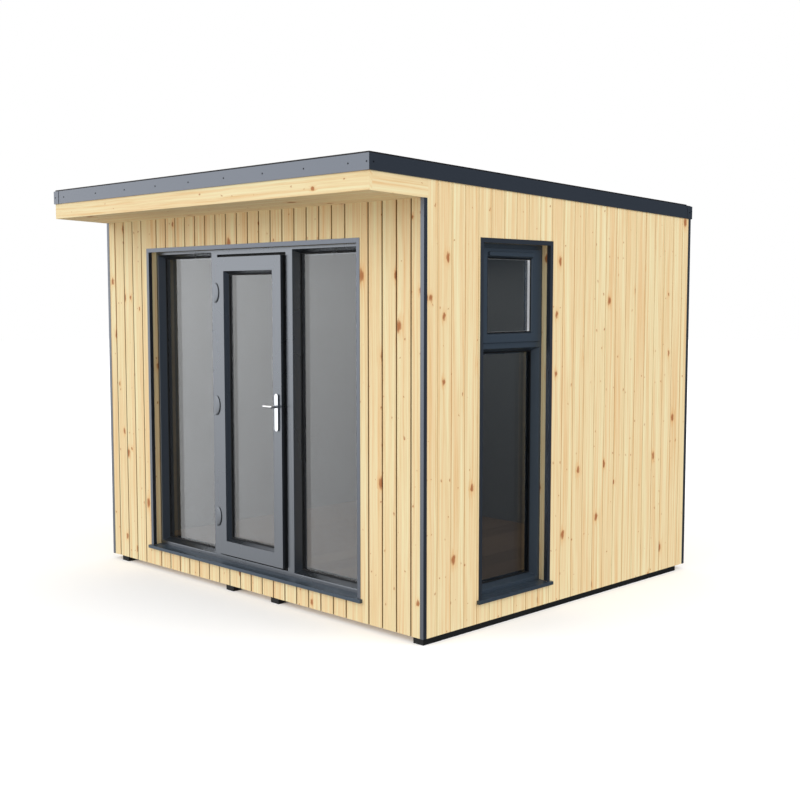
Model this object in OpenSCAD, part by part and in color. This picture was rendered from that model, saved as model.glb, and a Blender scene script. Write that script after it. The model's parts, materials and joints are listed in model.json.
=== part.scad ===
// Garden office pod: a timber-clad, insulated garden room with a falling flat roof and a small
// canopy. Millimetres, +Z up, the entrance facing -Y. The origin is on the ground, under the
// centre of the roof outline.

/* [Overall] */
// Width across the side cladding
body_w = 2980; // [2600:10:4200]
// Depth from the front cladding to the back cladding
body_d = 2510; // [2100:10:3600]
// Height of the roof's highest edge, at the front
overall_h = 2500; // [2450:10:3000]
// Fall of the roof from front to back, in degrees
roof_fall = 2; // [0:0.5:3]
// How far the canopy stands out from the front cladding
canopy_d = 380; // [200:10:600]

/* [Walls and floor] */
// Height of the bearers, which is also the clearance under the cladding
bearer_h = 32; // [25:1:60]
// Width of one bearer
bearer_w = 72; // [60:1:120]
// Top of the floor deck, which the walls and frames stand on
deck_z = 141; // [120:1:180]
// Thickness of a whole wall, from the cladding's face to the room
wall_t = 150; // [130:1:200]
// Thickness of the cladding boards
clad_t = 20; // [16:1:28]
// Thickness of the laminate floor with its underlay
laminate_t = 12; // [8:1:20]
// Thickness of the ceiling lining
ceiling_t = 15; // [10:1:20]

/* [Roof] */
// Depth of the metal trim with the black edge above it
roof_edge_h = 90; // [70:1:120]
// Depth of the timber fascia below the metal trim
fascia_h = 95; // [80:1:150]
// Height of the membrane's raised edge above the metal trim
membrane_edge_h = 9; // [6:1:15]
// How far the metal trim stands out from the boards under it
roof_trim_proud = 6; // [4:1:12]
// Length of a corner cap along each side
corner_cap_l = 57; // [40:1:90]

/* [Openings] */
// Height of the heads of both openings
head_z = 2095; // [2000:5:2140]
// Width of the entrance between its side liners
entrance_w = 1986; // [1700:2:2300]
// Width of the side window between its side liners
window_w = 580; // [420:2:900]
// Distance from the front cladding to the middle of the side window
window_y = 746; // [560:2:1200]
// Height of the bottom of the vent sash
vent_z = 1553; // [1200:1:1700]
// Depth of the frames behind the face of the cladding
recess = 58; // [40:1:70]
// Width of each leg of the metal angle around an opening or a corner
angle_w = 25; // [20:1:40]
// Thickness of the sheet metal trims
sheet_t = 2; // [1.5:0.5:3]
// Thickness of the timber liner in an opening
liner_t = 15; // [12:1:22]
// How far a sill stands out from the cladding
sill_proud = 19; // [10:1:40]
// How far a sill runs past the angle trim at each end
sill_ear = 13; // [0:1:30]

/* [Frames] */
// Width of the flat face of a frame
frame_flat = 20; // [15:1:40]
// Width of the bevel between a frame's face and its glass
frame_bevel = 20; // [10:1:30]
// Distance from a frame's face to the face of its glass
glass_set = 48; // [40:1:60]
// Thickness of a glass pane
pane_t = 6; // [4:1:8]
// Thickness of the bead behind the glass
bead_t = 4; // [3:1:8]
// Width of the flat face between the door's rebate and a side light
mullion_face = 60.5; // [50:0.5:90]

/* [Door] */
// Width of the door leaf
leaf_w = 625; // [560:1:760]
// How far the door leaf stands out from the frame's face
leaf_proud = 25; // [15:1:30]
// Gap between the edge of the leaf and the frame around it
leaf_gap = 15; // [10:1:18]
// Width of the door's stiles
stile_w = 78; // [70:1:95]
// Height of the door's rails
rail_h = 85; // [75:1:150]
// Height of one hinge
hinge_h = 120; // [90:1:140]
// Distance from the bottom of the leaf to the middle of the lowest hinge
hinge_low = 232; // [160:1:300]
// Distance from the top of the leaf to the middle of the highest hinge
hinge_high = 216; // [160:1:300]
// Height of the lever's spindle above the bottom of the leaf
spindle_h = 957; // [850:1:1050]
// Length of the lever from its spindle
lever_l = 85; // [70:1:130]
// Distance from the leaf's face to the middle of the lever
lever_out = 42; // [38:1:60]

/* [Hidden] */
$fn = 48;

// Cuts run past the faces that they open by this much
cut = 1;
// Clearance between faces that lie on the roof's slope
seat = 0.1;

// Plan of the shell
half_w = body_w / 2;
roof_y = (body_d + canopy_d) / 2;
front_y = canopy_d - roof_y;
core_x = half_w - clad_t;
core_front_y = front_y + clad_t;
core_back_y = roof_y - clad_t;
room_x = half_w - wall_t;
room_front_y = front_y + wall_t;
room_back_y = roof_y - wall_t;

// Depths of the roof's layers below its top surface
soffit_drop = roof_edge_h + fascia_h;
panel_drop = soffit_drop - clad_t;
flange_w = 50;
deck_drop = membrane_edge_h + sheet_t;
field_drop = 5;
cap_out = roof_trim_proud + sheet_t;
cheek_lap = 31;

// Bearers: flush with the front and the right side, short of the left side and the back
bearer_back = 100;
bearer_left = 110;
bearer_edge = 2;
bearer_pair = 436;

// Sills
sill_nose_z = deck_z + 19;
sill_back_z = deck_z + 27;
frame_bottom_flat = 47;
frame_d = glass_set + pane_t + bead_t;
mullion_x = leaf_w / 2 + leaf_gap + mullion_face;

// Door, measured inwards from the face of the front cladding
leaf_face = recess - leaf_proud;
leaf_z0 = deck_z + 67;
leaf_z1 = head_z - 49;
rebate_d = 20;
leaf_back = recess + rebate_d - 5;
stop_x = leaf_w / 2 - 12.5;
stop_z0 = leaf_z0 + 12;
stop_z1 = leaf_z1 - 13;
leaf_body_gap = 10;
leaf_body_back = leaf_back + 27;
bead_bevel = 18;
leaf_glass_set = 33;

// Hinges
knuckle_r = 7;
pin_r = 4;
pin_play = 0.1;
pin_x = -leaf_w / 2 - 5.5;
pin_depth = leaf_face - 12;
flag_w = 48;
flag_t = 7;
leaf_knuckle_h = 50;
knuckle_play = 0.5;
hinge_z0 = leaf_z0 + hinge_low;
hinge_z1 = leaf_z1 - hinge_high;

// Handle
handle_x = (leaf_w - stile_w) / 2;
spindle_z = leaf_z0 + spindle_h;
plate_w = 30;
plate_up = 76;
plate_down = 145;
plate_t = 9;
neck_r = 9;
neck_play = 0.1;
lever_r = 6;
spindle_r = 4.5;
spindle_play = 1;
inner_lever_out = 40;

// Side window
window_mid_y = front_y + window_y;
vent_flat = 36;
sash_lap = 10;
sash_proud = 9;
sash_stile = 66;
sash_rail = 44;
sash_bevel = 8;
sash_glass_set = 14;
vent_gap = 3;
transom_z = vent_z + sash_lap;
transom_h = 43;
slot_vent_w = 385;
slot_vent_h = 24;
slot_vent_t = 10;
slot_vent_drop = 32;

pine = "#EBD4A0";
anthracite = "#3D4552";
black = "#1C1C1E";
lining = "#CFCFCB";
laminate = "#8A6A4C";
chrome = "#DADADF";
clear = [0.62, 0.66, 0.70, 0.4];

// Height of the roof's top surface at a place along Y, to a hundredth
function roof_z(y) = round(100 * (overall_h - (y + roof_y) * tan(roof_fall))) / 100;

// Box between two corners
module block(low, high) {
    translate(low)
        cube(high - low);
}

// Slab parallel to the roof, between two depths below its top surface, clear of what it lies on
module roof_slab(x, y, drop) {
    foot = drop[1] - seat;
    translate([x[0], 0, 0])
        rotate([90, 0, 90])
            linear_extrude(x[1] - x[0])
                polygon([[y[0], roof_z(y[0]) - foot], [y[1], roof_z(y[1]) - foot],
                    [y[1], roof_z(y[1]) - drop[0]], [y[0], roof_z(y[0]) - drop[0]]]);
}

// Upright piece with a level foot and its top parallel to the roof
module upright(x, y, foot_z, drop) {
    translate([x[0], 0, 0])
        rotate([90, 0, 90])
            linear_extrude(x[1] - x[0])
                polygon([[y[0], foot_z], [y[1], foot_z],
                    [y[1], roof_z(y[1]) - drop], [y[0], roof_z(y[0]) - drop]]);
}

// A piece and its mirror image on the other side of the building
module both_sides() {
    children();
    mirror([1, 0, 0])
        children();
}

// Frames for the openings: X along the wall, Y inwards from the cladding's face, Z up
module on_front() {
    translate([0, front_y, 0])
        children();
}
module on_right() {
    translate([half_w, window_mid_y, 0])
        rotate([0, 0, 90])
            children();
}

// ---- ground and floor ----

module bearers() {
    y0 = front_y + bearer_edge;
    y1 = roof_y - bearer_back;
    left = -half_w + bearer_left;
    right = half_w - bearer_edge - bearer_w;
    mid = (left + right) / 2;
    color(black)
        for (x = [left, mid - bearer_pair / 2, mid + bearer_pair / 2, right])
            block([x, y0, 0], [x + bearer_w, y1, bearer_h]);
}

module floor_panel() {
    color("#B99B6B")
        block([-core_x, core_front_y, bearer_h], [core_x, core_back_y, deck_z]);
}

module floor_boards() {
    z1 = deck_z + laminate_t;
    color(laminate) {
        block([-room_x, room_front_y, deck_z], [room_x, room_back_y, z1]);
        on_front()
            block([-entrance_w / 2, recess + frame_d, deck_z], [entrance_w / 2, wall_t + cut, z1]);
        on_right()
            block([-window_w / 2, recess + frame_d, deck_z], [window_w / 2, wall_t + cut, z1]);
    }
}

// ---- walls ----

module front_wall_left() {
    color(lining)
        upright([-room_x, -entrance_w / 2 - liner_t], [core_front_y, room_front_y], deck_z, panel_drop);
}

module front_wall_right() {
    color(lining)
        upright([entrance_w / 2 + liner_t, room_x], [core_front_y, room_front_y], deck_z, panel_drop);
}

module front_wall_head() {
    x = entrance_w / 2 + liner_t;
    color(lining)
        upright([-x, x], [core_front_y, room_front_y], head_z + liner_t, panel_drop);
}

module right_wall_front() {
    color(lining)
        upright([room_x, core_x], [core_front_y, window_mid_y - window_w / 2 - liner_t],
            deck_z, panel_drop);
}

module right_wall_rear() {
    color(lining)
        upright([room_x, core_x], [window_mid_y + window_w / 2 + liner_t, core_back_y],
            deck_z, panel_drop);
}

module right_wall_head() {
    y = window_w / 2 + liner_t;
    color(lining)
        upright([room_x, core_x], [window_mid_y - y, window_mid_y + y], head_z + liner_t, panel_drop);
}

module back_wall() {
    color(lining)
        upright([-room_x, room_x], [room_back_y, core_back_y], deck_z, panel_drop);
}

module left_wall() {
    color(lining)
        upright([-core_x, -room_x], [core_front_y, core_back_y], deck_z, panel_drop);
}

// ---- cladding ----

module front_cladding() {
    color(pine)
        difference() {
            upright([-core_x, core_x], [front_y, core_front_y], bearer_h, soffit_drop);
            block([-entrance_w / 2, front_y - cut, deck_z], [entrance_w / 2, core_front_y + cut, head_z]);
        }
}

// Side boards rise to the metal trim, but stop under the canopy's cheek board at the front
module side_boards(x) {
    translate([x, 0, 0])
        rotate([90, 0, 90])
            linear_extrude(clad_t)
                polygon([[front_y, bearer_h], [roof_y, bearer_h],
                    [roof_y, roof_z(roof_y) - roof_edge_h],
                    [front_y + cheek_lap, roof_z(front_y + cheek_lap) - roof_edge_h],
                    [front_y + cheek_lap, roof_z(front_y + cheek_lap) - soffit_drop],
                    [front_y, roof_z(front_y) - soffit_drop]]);
}

module right_cladding() {
    color(pine)
        difference() {
            side_boards(core_x);
            block([core_x - cut, window_mid_y - window_w / 2, deck_z],
                [half_w + cut, window_mid_y + window_w / 2, head_z]);
        }
}

module left_cladding() {
    color(pine)
        side_boards(-half_w);
}

module back_cladding() {
    color(pine)
        upright([-core_x, core_x], [core_back_y, roof_y], bearer_h, roof_edge_h);
}

// ---- roof ----

module roof_panel() {
    color("#B99B6B")
        roof_slab([-core_x, core_x], [clad_t - roof_y, core_back_y], [roof_edge_h, panel_drop]);
}

module roof_deck() {
    color("#B99B6B")
        roof_slab([-half_w, half_w], [-roof_y, roof_y], [deck_drop, roof_edge_h]);
}

// The membrane lies between the trim's flanges, and its raised edge covers them
module roof_membrane() {
    x = half_w - flange_w;
    y = roof_y - flange_w;
    lap = 15;
    color(black) {
        roof_slab([-x, x], [-y, y], [field_drop, deck_drop]);
        roof_slab([-half_w, half_w], [-roof_y, lap - y], [0, membrane_edge_h]);
        roof_slab([-half_w, half_w], [y - lap, roof_y], [field_drop, membrane_edge_h]);
        both_sides()
            roof_slab([x - lap, half_w], [-roof_y, y], [0, membrane_edge_h]);
    }
}

module ceiling_lining() {
    color(lining)
        roof_slab([-room_x, room_x], [room_front_y, room_back_y], [panel_drop, panel_drop + ceiling_t]);
}

module canopy_fascia() {
    color(pine)
        roof_slab([-half_w, half_w], [-roof_y, clad_t - roof_y], [roof_edge_h, soffit_drop]);
}

module canopy_cheeks() {
    color(pine)
        both_sides()
            roof_slab([core_x, half_w], [clad_t - roof_y, front_y + cheek_lap],
                [roof_edge_h, soffit_drop]);
}

module canopy_soffit() {
    color(pine)
        roof_slab([-core_x, core_x], [clad_t - roof_y, core_front_y], [panel_drop, soffit_drop]);
}

// Folded trim along the front or the back: a face, a flange on the deck and a drip lip.
// side is -1 at the front and 1 at the back
module end_trim(side) {
    out = roof_trim_proud;
    inner = out - sheet_t;
    lip = roof_edge_h - sheet_t;
    profile = [[out, roof_edge_h], [out, membrane_edge_h], [-flange_w, membrane_edge_h],
        [-flange_w, deck_drop - seat], [inner, deck_drop - seat], [inner, lip], [0, lip],
        [0, roof_edge_h]];
    translate([-half_w, 0, 0])
        rotate([90, 0, 90])
            linear_extrude(body_w)
                polygon([for (p = profile) let (y = side * (roof_y + p[0])) [y, roof_z(y) - p[1]]]);
}

module roof_trim_front() {
    color(anthracite)
        end_trim(-1);
}

module roof_trim_back() {
    color(anthracite)
        end_trim(1);
}

module roof_trim_sides() {
    out = half_w + roof_trim_proud;
    inner = out - sheet_t;
    y = roof_y - flange_w;
    color(anthracite)
        both_sides() {
            roof_slab([inner, out], [-roof_y, roof_y], [membrane_edge_h, roof_edge_h]);
            roof_slab([half_w, out], [-roof_y, roof_y], [membrane_edge_h, deck_drop]);
            roof_slab([half_w, out], [-roof_y, roof_y], [roof_edge_h - sheet_t, roof_edge_h]);
            roof_slab([half_w - flange_w, out], [-y, y], [membrane_edge_h, deck_drop]);
        }
}

// Caps that close the corners of the trim
module roof_trim_corners() {
    drop = [membrane_edge_h, roof_edge_h];
    x1 = half_w + cap_out;
    color(anthracite)
        both_sides()
            for (side = [-1, 1]) {
                outer = side * (roof_y + cap_out);
                face = side * (roof_y + roof_trim_proud);
                end = side * (roof_y + cap_out - corner_cap_l);
                roof_slab([x1 - corner_cap_l, x1], [min(outer, face), max(outer, face)], drop);
                roof_slab([x1 - sheet_t, x1], [min(outer, end), max(outer, end)], drop);
                roof_slab([half_w, x1], [min(outer, side * roof_y), max(outer, side * roof_y)],
                    [membrane_edge_h, deck_drop]);
            }
}

// ---- angle trims, liners and sills ----

module corner_trims() {
    x1 = half_w + sheet_t;
    color(anthracite)
        both_sides() {
            upright([x1 - angle_w, x1], [front_y - sheet_t, front_y], bearer_h, soffit_drop);
            upright([half_w, x1], [front_y - sheet_t, front_y + angle_w - sheet_t],
                bearer_h, soffit_drop);
            upright([x1 - angle_w, x1], [roof_y, roof_y + sheet_t], bearer_h, roof_edge_h);
            upright([half_w, x1], [roof_y + sheet_t - angle_w, roof_y + sheet_t],
                bearer_h, roof_edge_h);
        }
}

// Height of a sill's top at a depth behind the cladding's face, to a tenth
function sill_z(depth) = sill_nose_z
    + round(10 * (sill_back_z - sill_nose_z) * (depth + sill_proud) / (recess + sill_proud)) / 10;

// Angle around the sides and head of an opening: one leg on the cladding, one in the reveal
module opening_trim(w) {
    lap = angle_w - sheet_t;
    foot = sill_z(angle_w - sheet_t);
    difference() {
        union() {
            block([-w / 2 - lap, -sheet_t, sill_z(0)], [w / 2 + lap, 0, head_z + lap]);
            block([-w / 2, -sheet_t, foot], [w / 2, lap, head_z]);
        }
        block([-w / 2 + sheet_t, -sheet_t - cut, deck_z], [w / 2 - sheet_t, lap + cut, head_z - sheet_t]);
    }
}

// Timber lining of an opening, from the back of the cladding to the room
module opening_liner(w) {
    difference() {
        block([-w / 2 - liner_t, clad_t, deck_z], [w / 2 + liner_t, wall_t, head_z + liner_t]);
        block([-w / 2, clad_t - cut, deck_z - cut], [w / 2, wall_t + cut, head_z]);
    }
}

// Sill between two depths, with half the width given
module sill_strip(d0, d1, half) {
    translate([-half, 0, 0])
        rotate([90, 0, 90])
            linear_extrude(2 * half)
                polygon([[d0, deck_z], [d1, deck_z], [d1, sill_z(d1)], [d0, sill_z(d0)]]);
}

module opening_sill(w) {
    lap = angle_w - sheet_t;
    sill_strip(-sill_proud, 0, w / 2 + lap + sill_ear);
    sill_strip(0, recess, w / 2 - sheet_t);
    sill_strip(lap, recess, w / 2);
}

module entrance_trim() {
    color(anthracite)
        on_front()
            opening_trim(entrance_w);
}

module entrance_liner() {
    color(pine)
        on_front()
            opening_liner(entrance_w);
}

module entrance_sill() {
    color(anthracite)
        on_front()
            opening_sill(entrance_w);
}

module window_trim() {
    color(anthracite)
        on_right()
            opening_trim(window_w);
}

module window_liner() {
    color(pine)
        on_right()
            opening_liner(window_w);
}

module window_sill() {
    color(anthracite)
        on_right()
            opening_sill(window_w);
}

// ---- frames and glass ----

// Outline of a glazed opening across one pair of edges, as [edge, depth] points: it narrows by the
// bevel over the depth to the glass, then runs on to the back
function bevel_outline(edge, bevel, set, back) = [
    [edge[0], -cut], [edge[1], -cut], [edge[1], 0], [edge[1] - bevel, set], [edge[1] - bevel, back],
    [edge[0] + bevel, back], [edge[0] + bevel, set], [edge[0], 0]];

// Cutter for a glazed opening. x and z are its edges in the face, which lies at the depth y
module glazing_cut(x, z, y, bevel, set, back) {
    intersection() {
        translate([0, y, z[0]])
            linear_extrude(z[1] - z[0])
                polygon(bevel_outline(x, bevel, set, back));
        translate([x[0], y, 0])
            rotate([90, 0, 90])
                linear_extrude(x[1] - x[0])
                    polygon([for (p = bevel_outline(z, bevel, set, back)) [p[1], p[0]]]);
    }
}

// Pane that fills a glazed opening behind its bevel
module pane(x, z, y, bevel, set) {
    block([x[0] + bevel, y + set, z[0] + bevel], [x[1] - bevel, y + set + pane_t, z[1] - bevel]);
}

frame_back = recess + frame_d;
light_z = [deck_z + frame_bottom_flat, head_z - frame_flat];
sidelight_x = [mullion_x, entrance_w / 2 - frame_flat];
window_light_x = [frame_flat - window_w / 2, window_w / 2 - frame_flat];
window_light_z = [light_z[0], transom_z - transom_h];
vent_x = window_w / 2 - vent_flat;
vent_head = head_z - vent_flat;
sash_x = vent_x + sash_lap;
sash_z = [vent_z, vent_head + sash_lap];
sash_light_x = [sash_stile - sash_x, sash_x - sash_stile];
sash_light_z = [sash_z[0] + sash_rail, sash_z[1] - sash_rail];
leaf_light_x = [stile_w - leaf_w / 2, leaf_w / 2 - stile_w];
leaf_light_z = [leaf_z0 + rail_h, leaf_z1 - rail_h];

module entrance_frame() {
    gap_x = leaf_w / 2 + leaf_gap;
    color(anthracite)
        on_front()
            difference() {
                block([-entrance_w / 2, recess, deck_z], [entrance_w / 2, frame_back, head_z]);
                both_sides()
                    glazing_cut(sidelight_x, light_z, recess, frame_bevel, glass_set, frame_d + cut);
                block([-gap_x, recess - cut, leaf_z0 - leaf_gap],
                    [gap_x, recess + rebate_d, leaf_z1 + leaf_gap]);
                block([-stop_x, recess, stop_z0], [stop_x, frame_back + cut, stop_z1]);
            }
}

module sidelight_glass() {
    color(clear)
        on_front()
            both_sides()
                pane(sidelight_x, light_z, recess, frame_bevel, glass_set);
}

// ---- door ----

module door_leaf() {
    body_x = stop_x - leaf_body_gap;
    color(anthracite)
        on_front()
            difference() {
                union() {
                    block([-leaf_w / 2, leaf_face, leaf_z0], [leaf_w / 2, leaf_back, leaf_z1]);
                    block([-body_x, leaf_back - cut, stop_z0 + leaf_body_gap],
                        [body_x, leaf_body_back, stop_z1 - leaf_body_gap]);
                }
                glazing_cut(leaf_light_x, leaf_light_z, leaf_face, bead_bevel, leaf_glass_set,
                    leaf_body_back - leaf_face + cut);
                translate([handle_x, leaf_face - cut, spindle_z])
                    rotate([-90, 0, 0])
                        cylinder(r = spindle_r + spindle_play, h = leaf_body_back - leaf_face + 2 * cut);
            }
}

module door_glass() {
    color(clear)
        on_front()
            pane(leaf_light_x, leaf_light_z, leaf_face, bead_bevel, leaf_glass_set);
}

// Middle heights of the three hinges
function hinge_zs() = [hinge_z0, (hinge_z0 + hinge_z1) / 2, hinge_z1];

// Fixed half: a leg on the frame, a knuckle at each end and the pin through both
module hinge_frame_halves() {
    leg_x = -leaf_w / 2 - leaf_gap;
    knuckle_h = (hinge_h - leaf_knuckle_h) / 2 - knuckle_play;
    color(anthracite)
        on_front()
            for (z = hinge_zs()) {
                block([leg_x - 17, pin_depth - knuckle_r, z - hinge_h / 2],
                    [leg_x - 0.5, recess, z + hinge_h / 2]);
                translate([pin_x, pin_depth, z - hinge_h / 2])
                    cylinder(r = pin_r, h = hinge_h);
                for (foot = [z - hinge_h / 2, z + hinge_h / 2 - knuckle_h]) {
                    translate([pin_x, pin_depth, foot])
                        cylinder(r = knuckle_r, h = knuckle_h);
                    block([leg_x - 1, pin_depth - knuckle_r + 1, foot],
                        [pin_x, pin_depth + knuckle_r - 1, foot + knuckle_h]);
                }
            }
}

// Moving half: a flag on the face of the leaf with its knuckle between the other two
module hinge_leaf_halves() {
    flag_r = flag_w * 0.55;
    color(anthracite)
        on_front()
            for (z = hinge_zs())
                difference() {
                    union() {
                        translate([pin_x, pin_depth, z - leaf_knuckle_h / 2])
                            cylinder(r = knuckle_r, h = leaf_knuckle_h);
                        block([pin_x, leaf_face - flag_t, z - leaf_knuckle_h / 2],
                            [pin_x + flag_w - flag_r, leaf_face, z + leaf_knuckle_h / 2]);
                        translate([pin_x + knuckle_r + 1, leaf_face - flag_t, z])
                            rotate([-90, 0, 0])
                                linear_extrude(flag_t)
                                    flag_outline(hinge_h / 2 - 2, flag_w - knuckle_r - 1);
                    }
                    translate([pin_x, pin_depth, z - leaf_knuckle_h / 2 - cut])
                        cylinder(r = pin_r + pin_play, h = leaf_knuckle_h + 2 * cut);
                }
}

// D shape: straight along the knuckle, its two outer corners fully rounded
module flag_outline(half_h, w) {
    translate([0, -half_h + w])
        square([w, 2 * (half_h - w)]);
    for (side = [-1, 1])
        intersection() {
            translate([0, side * (half_h - w)])
                circle(r = w);
            translate([0, side > 0 ? half_h - w : -half_h])
                square([w, w]);
        }
}

// Long plates outside and inside, with the bore that the lever's neck turns in
module handle_plates() {
    color(chrome)
        on_front()
            for (d = [leaf_face - plate_t, leaf_body_back])
                difference() {
                    hull()
                        for (z = [spindle_z - plate_down + plate_w / 2, spindle_z + plate_up - plate_w / 2])
                            translate([handle_x, d, z])
                                rotate([-90, 0, 0])
                                    cylinder(r = plate_w / 2, h = plate_t, $fn = 32);
                    translate([handle_x, d - cut, spindle_z])
                        rotate([-90, 0, 0])
                            cylinder(r = neck_r + neck_play, h = plate_t + 2 * cut);
                }
}

// Grip that runs from the spindle towards the hinges, with its end rounded
module lever_grip(depth) {
    translate([handle_x, depth, spindle_z])
        rotate([0, -90, 0])
            cylinder(r = lever_r, h = lever_l - lever_r);
    translate([handle_x - lever_l + lever_r, depth, spindle_z])
        sphere(r = lever_r);
}

// Outer and inner levers on one spindle
module door_lever() {
    outer = leaf_face - lever_out;
    inner = leaf_body_back + inner_lever_out;
    color(chrome)
        on_front() {
            translate([handle_x, outer - lever_r, spindle_z])
                rotate([-90, 0, 0])
                    cylinder(r = neck_r, h = lever_out + lever_r);
            translate([handle_x, leaf_face - cut, spindle_z])
                rotate([-90, 0, 0])
                    cylinder(r = spindle_r, h = leaf_body_back - leaf_face + 2 * cut);
            translate([handle_x, leaf_body_back, spindle_z])
                rotate([-90, 0, 0])
                    cylinder(r = neck_r, h = inner_lever_out + lever_r);
            lever_grip(outer);
            lever_grip(inner);
        }
}

// ---- side window ----

module window_frame() {
    color(anthracite)
        on_right()
            difference() {
                block([-window_w / 2, recess, deck_z], [window_w / 2, frame_back, head_z]);
                glazing_cut(window_light_x, window_light_z, recess, frame_bevel, glass_set, frame_d + cut);
                block([-vent_x, recess - cut, transom_z], [vent_x, frame_back + cut, vent_head]);
            }
}

// Top-hung sash: a rim on the frame's face and a body inside the frame's opening
module vent_sash() {
    face = recess - sash_proud;
    inner_x = vent_x - vent_gap;
    color(anthracite)
        on_right()
            difference() {
                union() {
                    block([-sash_x, face, sash_z[0]], [sash_x, recess, sash_z[1]]);
                    block([-inner_x, recess - cut, transom_z + vent_gap],
                        [inner_x, frame_back, vent_head - vent_gap]);
                }
                glazing_cut(sash_light_x, sash_light_z, face, sash_bevel, sash_glass_set,
                    frame_back - face + cut);
            }
}

module window_glass() {
    color(clear)
        on_right() {
            pane(window_light_x, window_light_z, recess, frame_bevel, glass_set);
            pane(sash_light_x, sash_light_z, recess - sash_proud, sash_bevel, sash_glass_set);
        }
}

// Slot ventilator on the top rail of the sash
module trickle_vent() {
    face = recess - sash_proud;
    r = slot_vent_h / 2;
    z = sash_z[1] - slot_vent_drop;
    color(anthracite)
        on_right()
            translate([0, face - slot_vent_t, z])
                rotate([-90, 0, 0]) {
                    linear_extrude(slot_vent_t)
                        square([slot_vent_w - 2 * r, 2 * r], center = true);
                    for (x = [r - slot_vent_w / 2, slot_vent_w / 2 - r])
                        translate([x, 0, 0])
                            cylinder(r = r, h = slot_vent_t);
                }
}

bearers();
floor_panel();
floor_boards();
front_wall_left();
front_wall_right();
front_wall_head();
right_wall_front();
right_wall_rear();
right_wall_head();
back_wall();
left_wall();
front_cladding();
right_cladding();
back_cladding();
left_cladding();
roof_panel();
roof_deck();
roof_membrane();
ceiling_lining();
canopy_fascia();
canopy_cheeks();
canopy_soffit();
roof_trim_front();
roof_trim_back();
roof_trim_sides();
roof_trim_corners();
corner_trims();
entrance_trim();
entrance_liner();
entrance_sill();
entrance_frame();
sidelight_glass();
door_leaf();
door_glass();
hinge_frame_halves();
hinge_leaf_halves();
handle_plates();
door_lever();
window_trim();
window_liner();
window_sill();
window_frame();
vent_sash();
window_glass();
trickle_vent();
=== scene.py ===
"""Garden office pod: the finished pieces, their materials and the studio, laid out as an add-on.

Metres, +Z up, the entrance facing -Y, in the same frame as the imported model.
"""

import json
import math

import bmesh
import bpy
import numpy as np
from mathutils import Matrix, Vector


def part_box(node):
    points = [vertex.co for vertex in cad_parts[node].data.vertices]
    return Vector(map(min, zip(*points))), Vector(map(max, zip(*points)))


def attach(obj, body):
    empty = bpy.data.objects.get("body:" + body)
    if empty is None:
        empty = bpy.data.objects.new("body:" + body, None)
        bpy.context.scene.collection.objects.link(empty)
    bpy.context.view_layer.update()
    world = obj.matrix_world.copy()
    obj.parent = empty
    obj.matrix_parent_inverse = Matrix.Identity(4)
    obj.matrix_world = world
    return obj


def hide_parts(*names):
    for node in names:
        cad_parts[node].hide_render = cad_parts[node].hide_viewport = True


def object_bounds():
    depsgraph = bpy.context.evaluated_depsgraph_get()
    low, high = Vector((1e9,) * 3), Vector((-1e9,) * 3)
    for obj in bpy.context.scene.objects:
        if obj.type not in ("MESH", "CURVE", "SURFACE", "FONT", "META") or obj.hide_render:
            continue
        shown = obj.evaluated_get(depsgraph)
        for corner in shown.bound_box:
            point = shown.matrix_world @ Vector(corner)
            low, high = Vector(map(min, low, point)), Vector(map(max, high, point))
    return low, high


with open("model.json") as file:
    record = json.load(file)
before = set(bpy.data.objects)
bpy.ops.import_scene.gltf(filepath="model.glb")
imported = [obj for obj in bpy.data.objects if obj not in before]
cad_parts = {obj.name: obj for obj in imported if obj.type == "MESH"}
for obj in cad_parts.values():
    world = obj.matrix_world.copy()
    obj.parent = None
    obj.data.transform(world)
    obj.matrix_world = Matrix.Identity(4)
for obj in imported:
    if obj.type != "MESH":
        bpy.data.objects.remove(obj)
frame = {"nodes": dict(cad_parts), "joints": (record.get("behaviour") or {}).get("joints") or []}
CAD_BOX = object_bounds()

bl_info = {
    "name": "Garden office pod",
    "version": (1, 0, 0),
    "blender": (4, 5, 0),
    "location": "View3D > Sidebar > Pod",
    "description": "Makes the boards, frames, door and trims of a garden office pod on its CAD frame",
    "category": "Object",
}


def linear(red, green, blue):
    """A display colour from 0 to 255 as scene-linear values: the usual display curve, undone."""
    values = np.array([red, green, blue]) / 255
    low = values / 12.92
    high = ((values + 0.055) / 1.055) ** 2.4
    return tuple(np.where(values <= 0.04045, low, high))


def node_box(name):
    """Lowest and highest corner of a CAD node, as arrays."""
    low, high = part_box(name)
    return np.array(low, float), np.array(high, float)


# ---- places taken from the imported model, and sizes shared with it ----

FRONT_LOW, FRONT_HIGH = node_box("front_cladding")
SIDE_LOW, SIDE_HIGH = node_box("right_cladding")
BACK_LOW, BACK_HIGH = node_box("back_cladding")
FASCIA_LOW, FASCIA_HIGH = node_box("canopy_fascia")
CHEEK_LOW, CHEEK_HIGH = node_box("canopy_cheeks")
SOFFIT_LOW, SOFFIT_HIGH = node_box("canopy_soffit")
CAP_LOW, CAP_HIGH = node_box("roof_trim_corners")
ENTRANCE_LOW, ENTRANCE_HIGH = node_box("entrance_frame")
WINDOW_LOW, WINDOW_HIGH = node_box("window_frame")
LEAF_LOW, LEAF_HIGH = node_box("door_leaf")
LEVER_LOW, LEVER_HIGH = node_box("door_lever")
HINGE_LOW, HINGE_HIGH = node_box("hinge_frame_halves")
ROOF_FRONT = node_box("roof_deck")[0][1]
TRIM_FRONT = node_box("roof_trim_front")[0][1]
ROOF_TOP = CAD_BOX[1][2]

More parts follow.
